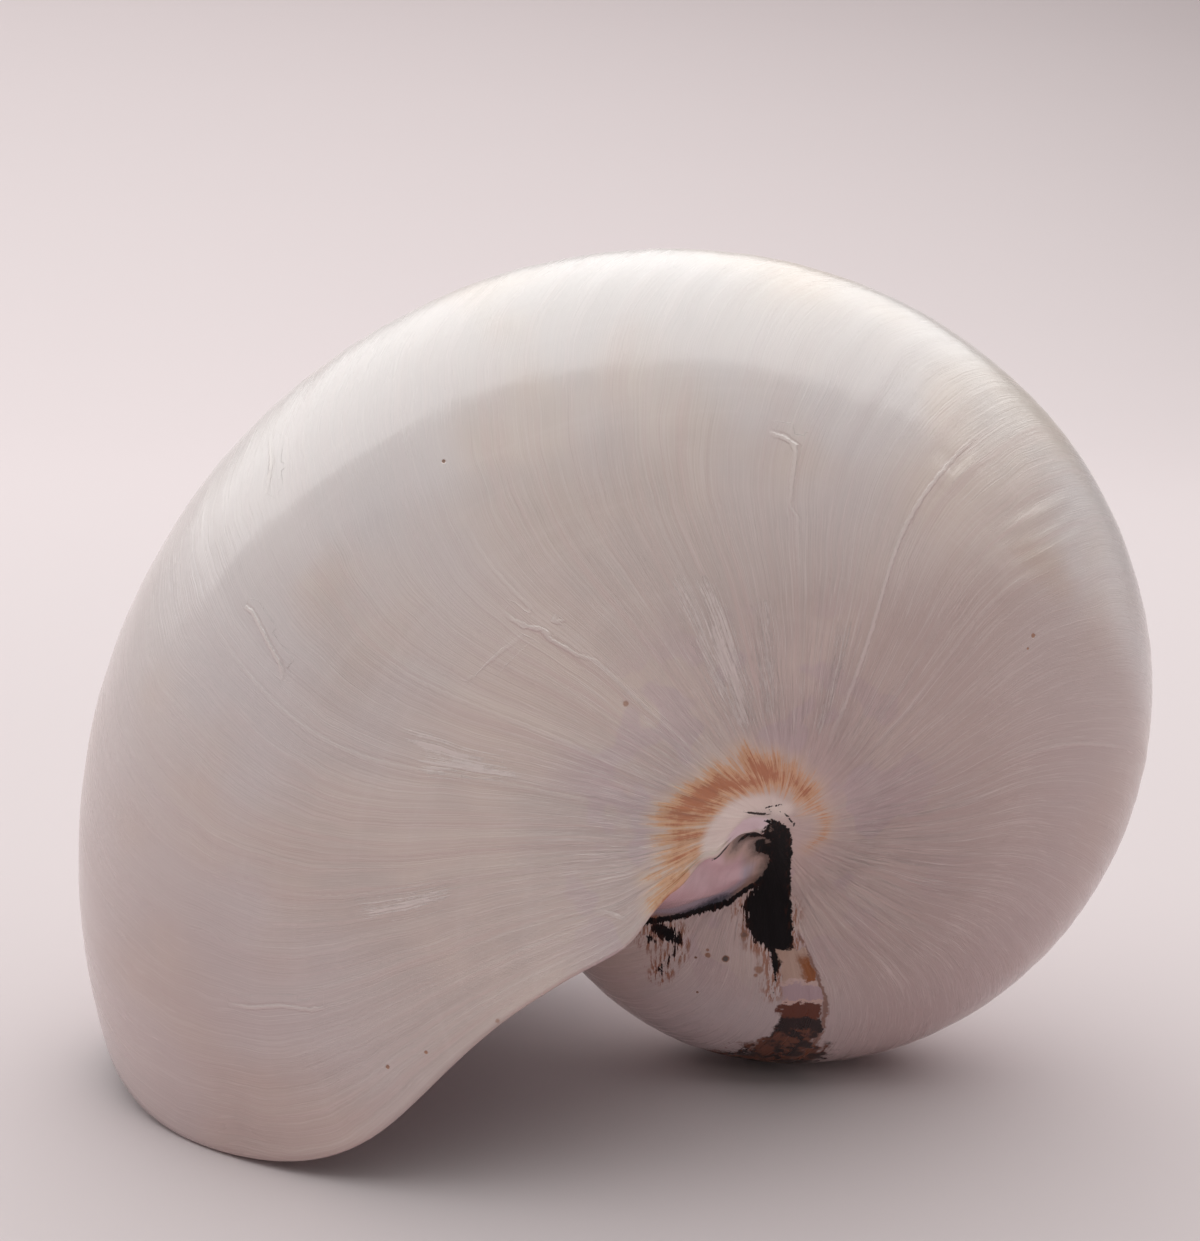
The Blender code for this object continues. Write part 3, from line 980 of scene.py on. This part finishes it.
def nacre_colour(s, coarse, fine, hairline, spiral):
    """Mother-of-pearl ground: cream, grey and pink in soft clouds, crossed by fine growth striae."""
    colour = s.blend(s.step(s.cloud, 0.38, 0.64), CREAM, LILAC_GREY)
    for value, low, high, tone, amount in (
        (coarse, 0.42, 0.7, PALE_PINK, 0.7),
        (fine, 0.5, 0.68, CHALK_WHITE, 0.3),
        (fine, 0.46, 0.3, SHADE_LINE, 0.22),
        (spiral, 0.52, 0.7, CHALK_WHITE, 0.12),
        (s.u, 0.6, 0.95, KEEL_CREAM, 0.4),
    ):
        colour = s.blend(s.step(value, low, high), colour, tone, amount)
    # painted sheen: pale blue-white patches towards the keel stand for the nacre's iridescent reflection
    painted_sheen = s.times(s.step(s.noise(s.place, 0.03), 0.38, 0.58), s.step(s.u, 0.4, 0.6))
    colour = s.blend(painted_sheen, colour, SHEEN_WHITE, 0.65)
    rosy = s.times(s.step(s.reach, 35.0, 10.0), s.step(s.cloud, 0.28, 0.6))
    colour = s.blend(rosy, colour, ROSY, 0.65)
    thin = s.times(s.step(s.noise(s.place, 0.11), 0.51, 0.56), s.step(s.reach, 35.0, 22.0))
    colour = s.blend(s.times(thin, s.step(s.reach, 7.0, 12.0)), colour, THIN_MAUVE, 0.5)
    # painted shade: darker tone on the inner flank to the right and on the mid flank beside the lip, where
    # they turn from the light
    right_flank_shade = s.step(s.add(s.age, s.times(s.u, 130.0)), -74.0, -94.0)
    right_flank_shade = s.times(right_flank_shade, s.step(s.age, -300.0, -262.0), s.step(s.u, 0.2, 0.45), 0.65)
    lip_flank_shade = s.times(s.step(s.age, -48.0, -12.0), s.step(s.u, 0.45, 0.65), 0.5)
    colour = s.blend(s.most(right_flank_shade, lip_flank_shade), colour, FLANK_SHADE_TONE)
    shown = s.times(hairline, s.scaled(s.step(s.reach, 55.0, 18.0), 0.45, 0.12))
    colour = s.blend(shown, colour, CHALK_WHITE)
    stain = s.step(s.add(s.field("stain"), s.spread(s.cloud, 6.0), s.spread(fine, 8.0)), -2.5, 2.5)
    return s.blend(stain, colour, STAIN_BROWN, 0.25)


def lip_colours(s, colour, flecks):
    """Rust in radial streaks round the umbilicus, the cream rim of the lip and its lilac inner band, both
    painted brighter as light on the rolled band.
    """
    ray = s.streaks(0.45, 7.0, 3.0, 0.65)
    rust = s.add(s.field("rust"), s.spread(ray, 6.0), s.spread(flecks, 3.6), s.grit(1.6))
    ground = s.step(s.add(s.field("rust"), s.spread(ray, 2.0)), -3.0, -0.4)
    colour = s.blend(ground, colour, RUST_GROUND, 0.7)
    colour = s.blend(s.step(rust, -1.1, 0.1), colour, RUST_PALE, 0.72)
    colour = s.blend(s.step(rust, 0.3, 1.3), colour, RUST, 0.85)
    # the rim's cream and the band's lilac are the shell's own colours, painted brighter as light on the
    # rolled band
    cream = s.step(s.add(s.field("cream"), s.spread(flecks, 2.5)), -1.1, 0.2)
    colour = s.blend(cream, colour, RIM_CREAM_AND_LIGHT)
    lilac = s.step(s.add(s.field("lilac"), s.grit(0.8)), -0.3, 0.3)
    return s.blend(lilac, colour, BAND_LILAC_AND_LIGHT, 0.85)


def callus_and_film(s, colour):
    """Callus in front of the lip, the black film round it, and a tone that grows darker deeper inside the
    chamber.
    """
    hairs = s.noise(s.vector(s.times(s.x, 2.4), s.times(s.y, 1.2), s.times(s.z, 0.35)), 1.0, 3.0, 0.7)
    edge = s.add(s.field("callus"), s.grit(0.5))
    furry = s.add(edge, s.spread(hairs, 1.6))
    soft = s.noise(s.place, 0.22, 2.0, 0.6)
    pad = s.blend(s.step(soft, 0.38, 0.62), CALLUS_PINK, CALLUS_MAUVE)
    pad = s.blend(s.step(furry, 5.2, 3.0), pad, CALLUS_PALE_BLUE)
    slate = s.add(furry, s.times(s.step(s.x, 13.0, 4.0), 1.2))
    pad = s.blend(s.step(slate, 2.3, 0.7), pad, CALLUS_SLATE)
    to_film = s.add(s.field("film"), s.spread(soft, 2.0))
    pad = s.blend(s.step(to_film, -3.4, -0.8), pad, CALLUS_TAN, 0.85)
    at_film = s.step(s.add(to_film, s.grit(1.5)), -1.4, 0.2)
    pad = s.blend(at_film, pad, FILM_SEEPAGE, 0.8)
    under_lip = s.times(s.step(s.age, -326.0, -352.0), s.step(s.x, 13.5, 17.0))
    pad = s.blend(under_lip, pad, LIP_SHADOW, 0.8)
    colour = s.blend(s.step(edge, -0.1, 0.1), colour, pad)

    on_old = s.step(s.age, -200.0, -206.0)
    foot = s.minus(0.58, s.math("ABSOLUTE", s.add(furry, 0.15)))
    foot = s.times(s.step(foot, 0.0, 0.15), on_old)
    ragged = s.times(s.spread(hairs, 3.6), s.step(s.x, 22.4, 20.0), s.step(s.z, 40.0, 36.0))
    film = s.add(s.field("film"), s.grit(1.3), ragged)
    black = s.most(s.step(film, 0.0, 0.2), foot)
    fringe = s.times(s.step(film, -2.0, -0.4), s.step(hairs, 0.46, 0.56), s.step(s.z, 36.0, 32.0))
    colour = s.blend(fringe, colour, FRINGE_BROWN, 0.85)
    tone = s.blend(s.times(s.step(hairs, 0.5, 0.75), s.step(film, 1.4, 0.2)), FILM_BLACK, FILM_BROWN)
    colour = s.blend(black, colour, tone)
    # darker towards the inside of the chamber
    dusk = s.step(s.add(s.age, s.spread(s.cloud, 90.0)), -430.0, -372.0)
    dusk = s.times(dusk, s.step(s.age, -361.0, -372.0), 0.55)
    return s.blend(dusk, colour, CHAMBER_DUSK), black


STRIP_BANDS = (               # heights in mm between which each band starts, from the top, and its colour
    (21.4, 21.0, (0.8, 0.68, 0.62)),
    (20.6, 20.2, (0.64, 0.54, 0.57)),
    (17.9, 17.6, (0.8, 0.66, 0.58)),
    (17.3, 17.0, (0.17, 0.05, 0.025)),
    (14.8, 14.2, (0.028, 0.011, 0.011)),
)


def brown_strip(s, colour):
    """Remnant of the outer layer: ochre, lilac, brown and black bands, mottled at the venter."""
    blot = s.noise(s.place, 0.45, 3.0, 0.65)
    wobble = s.spread(blot, 8.0)
    shown = s.add(s.age, wobble)
    height = s.add(s.z, s.grit(2.0), s.spread(blot, 3.0))
    part = s.times(s.step(shown, -294.0, -292.8), s.step(shown, -281.6, -282.4))
    part = s.times(part, s.step(height, 26.6, 26.2))
    rusty = s.times(s.step(shown, -288.0, -285.0), s.step(height, 26.0, 24.0))
    tone = s.blend(rusty, STRIP_OCHRE, STRIP_RUST)
    for top, bottom, band_colour in STRIP_BANDS:
        tone = s.blend(s.step(height, top, bottom), tone, band_colour)
    mottled = s.blend(s.step(blot, 0.44, 0.56), STRIP_BLACK, STRIP_BROWN)
    tone = s.blend(s.step(height, 12.6, 11.8), tone, mottled)
    colour = s.blend(part, colour, tone)
    ragged = s.add(s.age, s.spread(blot, 16.0), s.grit(5.0))
    low = s.times(s.step(ragged, -297.0, -295.0), s.step(ragged, -276.0, -278.0), s.step(height, 9.5, 8.0))
    colour = s.blend(s.times(low, s.minus(1.0, part)), colour, mottled)
    edge = s.line(s.add(s.age, s.times(wobble, 0.5), 281.4), 0.95)
    edge = s.times(edge, s.step(s.z, 30.0, 28.0), s.step(s.z, 3.0, 5.0), s.step(blot, 0.36, 0.48))
    return s.blend(edge, colour, STRIP_EDGE, 0.85), s.most(part, low)


SPECKS = (                    # x, z, radius in millimetres, darkness, on the near side
    (15.2, 24.0, 0.55, 0.9), (12.7, 24.3, 0.45, 0.55), (12.6, 25.2, 0.3, 0.45), (20.0, 22.6, 0.75, 0.4),
    (19.6, 21.6, 0.4, 0.4), (11.0, 23.8, 0.22, 0.7), (11.6, 17.8, 0.2, 0.7), (17.6, 28.0, 0.6, 0.7),
    (-31.2, 18.3, 0.3, 0.6), (-26.2, 20.8, 0.25, 0.5), (-24.7, 95.6, 0.26, 0.75),
    (-1.2, 66.1, 0.45, 0.35), (54.1, 73.3, 0.35, 0.6), (53.4, 71.6, 0.22, 0.5), (-17.0, 25.6, 0.4, 0.3),
)


def specks(s, colour):
    """Small pits and drops, rust brown with a dark heart."""
    spots = []
    wobble = s.grit(1.0)
    for x, z, radius, darkness in SPECKS:
        distance = s.add(s.distance(s.flat, (x, 0.0, z)), s.times(wobble, radius))
        spots.append(s.times(s.step(distance, radius * 1.2, radius * 0.5), darkness))
    total = s.times(s.most(*spots), s.is_near)
    colour = s.blend(s.step(total, 0.0, 0.5), colour, SPECK_RING)
    return s.blend(s.step(total, 0.5, 0.9), colour, SPECK_HEART), total


def scar_lines(s):
    """Groove and crest of each scar, broken up along its length: painted shade in the groove, painted
    highlight on the crest.
    """
    shown = s.field("scar_near")
    across = s.add(s.field("scar"), s.grit(0.5))
    broken = s.step(s.cloud, 0.36, 0.5)
    groove = s.times(s.line(across, 0.28), shown, broken)
    crest = s.times(s.line(s.minus(across, 0.42), 0.4), shown)
    return groove, crest


def inside_material():
    """Mother-of-pearl of the chamber's wall and the last septum."""
    s = Surface("chamber_nacre")
    fine = s.streaks(1.6, 6.0, 3.0)
    colour = s.blend(s.step(s.cloud, 0.35, 0.65), WALL_CREAM, WALL_ROSE)
    colour = s.blend(s.step(fine, 0.45, 0.7), colour, WALL_GREEN, 0.3)
    normal = s.bump(s.times(fine, 0.03))
    s.fill(s.shader, {
        "Base Color": colour,
        "Roughness": s.scaled(s.cloud, 0.14, 0.22),
        "Normal": normal,
        "Coat Normal": normal,
        "IOR": 1.5,
        "Coat Weight": 0.6,
        "Coat IOR": 1.8,
        "Coat Roughness": 0.12,
    })
    return s.material


# ---- stage ----
PALE_FLOOR = (0.65, 0.6, 0.61)
FLOOR_BOUNCE = (0.57, 0.405, 0.43)
STUDIO_PALE = (0.71, 0.665, 0.67)
STUDIO_FILL = (0.155, 0.141, 0.136)
FLOOR_FRONT = 2.2             # metres
FLOOR_HALF_WIDTH = 3.5
SWEEP_START = 0.9             # metres behind the shell where the floor curves up
SWEEP_RADIUS = 1.4
BACKDROP_TOP = 2.6
SWEEP_STEPS = 16


def seen_directly(graph):
    """1 for rays that show the studio itself: camera, glossy and transmission rays."""
    path = graph.node("LightPath", {}).outputs
    return graph.most(path["Is Camera Ray"], graph.most(path["Is Glossy Ray"], path["Is Transmission Ray"]))


def floor_material():
    """Pale to look at; the light that it sends back up is a little dimmer and warmer."""
    material = bpy.data.materials.new("pale_floor")
    graph = Graph(material)
    colour = graph.blend(seen_directly(graph), FLOOR_BOUNCE, PALE_FLOOR)
    graph.fill(graph.shader, {"Base Color": colour, "Roughness": 0.8, "Specular IOR Level": 0.15})
    return material


def make_floor():
    """Pale sheet that lies flat and sweeps up behind the shell."""
    profile = [(-FLOOR_FRONT, 0.0), (SWEEP_START, 0.0)]
    for i in range(1, SWEEP_STEPS + 1):
        turn = i / SWEEP_STEPS * math.pi / 2.0
        profile.append((SWEEP_START + SWEEP_RADIUS * math.sin(turn), SWEEP_RADIUS * (1.0 - math.cos(turn))))
    profile.append((SWEEP_START + SWEEP_RADIUS, BACKDROP_TOP))
    places = [(side * FLOOR_HALF_WIDTH, y, z) for y, z in profile for side in (-1.0, 1.0)]
    faces = [(2 * i, 2 * i + 1, 2 * i + 3, 2 * i + 2) for i in range(len(profile) - 1)]
    mesh = bpy.data.meshes.new("floor")
    mesh.from_pydata(places, [], faces)
    mesh.shade_smooth()
    mesh.materials.append(floor_material())
    floor = add_object("floor", mesh)


LIGHT_HEIGHT = 1.0            # metres
LIGHT_MIDDLE = -0.85
LIGHT_WIDTH = 4.3
LIGHT_TURN = math.radians(-5.0)
PANEL_SEAM = -0.46
# Depth and watts a square metre of the main panel behind the seam, and of a dimmer one in front of it.
PANELS = (
    (2.36, 4.85),
    (-0.6, 1.0),
)


def make_lights():
    """Wide soft panels overhead; their front edges end the bright bands on the shell."""
    for depth, power in PANELS:
        data = bpy.data.lights.new("panel", "AREA")
        data.shape = "RECTANGLE"
        data.size = LIGHT_WIDTH
        data.size_y = abs(depth)
        data.energy = power * data.size * data.size_y
        data.color = (1.0, 0.985, 0.97)
        light = add_object("panel", data)
        away = Matrix.Rotation(LIGHT_TURN, 4, "Z") @ Vector((0.0, depth / 2.0, 0.0))
        light.location = Vector((LIGHT_MIDDLE, PANEL_SEAM, LIGHT_HEIGHT)) + away
        light.rotation_euler.z = LIGHT_TURN


def make_world():
    world = bpy.data.worlds.new("studio")
    graph = Graph(world, "Background")
    colour = graph.blend(seen_directly(graph), STUDIO_FILL, STUDIO_PALE)
    graph.fill(graph.shader, {"Color": colour})
    bpy.context.scene.world = world


# The camera looks at a point beside and above the coil's axis.
VIEW_AZIMUTH = -2.84
VIEW_ELEVATION = 11.91
VIEW_ROLL = 1.26
VIEW_DISTANCE = 2.2406        # coil units
AIM_LEFT = 0.2217             # coil units from the axis
AIM_UP = 0.2361
LENS = 43.51                  # mm, on a 36 mm sensor along the picture's long side


def make_camera():
    turn = Matrix.Rotation(math.radians(VIEW_AZIMUTH), 4, "Z")
    turn @= Matrix.Rotation(math.radians(90.0 - VIEW_ELEVATION), 4, "X")
    turn @= Matrix.Rotation(math.radians(VIEW_ROLL), 4, "Z")
    place = POLE + turn @ Vector((-AIM_LEFT, AIM_UP, VIEW_DISTANCE)) * UNIT
    data = bpy.data.cameras.new("camera")
    data.lens = LENS
    data.clip_start = 0.01
    camera = add_object("camera", data)
    camera.matrix_world = Matrix.Translation(place) @ turn
    bpy.context.scene.camera = camera


def main():
    skin_mesh = build_skin()
    shell = make_object(skin_mesh)
    marks = paint(shell, skin_mesh)
    shape_surface(shell, marks)
    for material in (outside_material(), inside_material()):
        shell.data.materials.append(material)
    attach(shell, BODY)
    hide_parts(NODE)
    make_floor()
    make_lights()
    make_world()
    make_camera()
    bpy.context.scene.view_settings.view_transform = "Standard"


main()
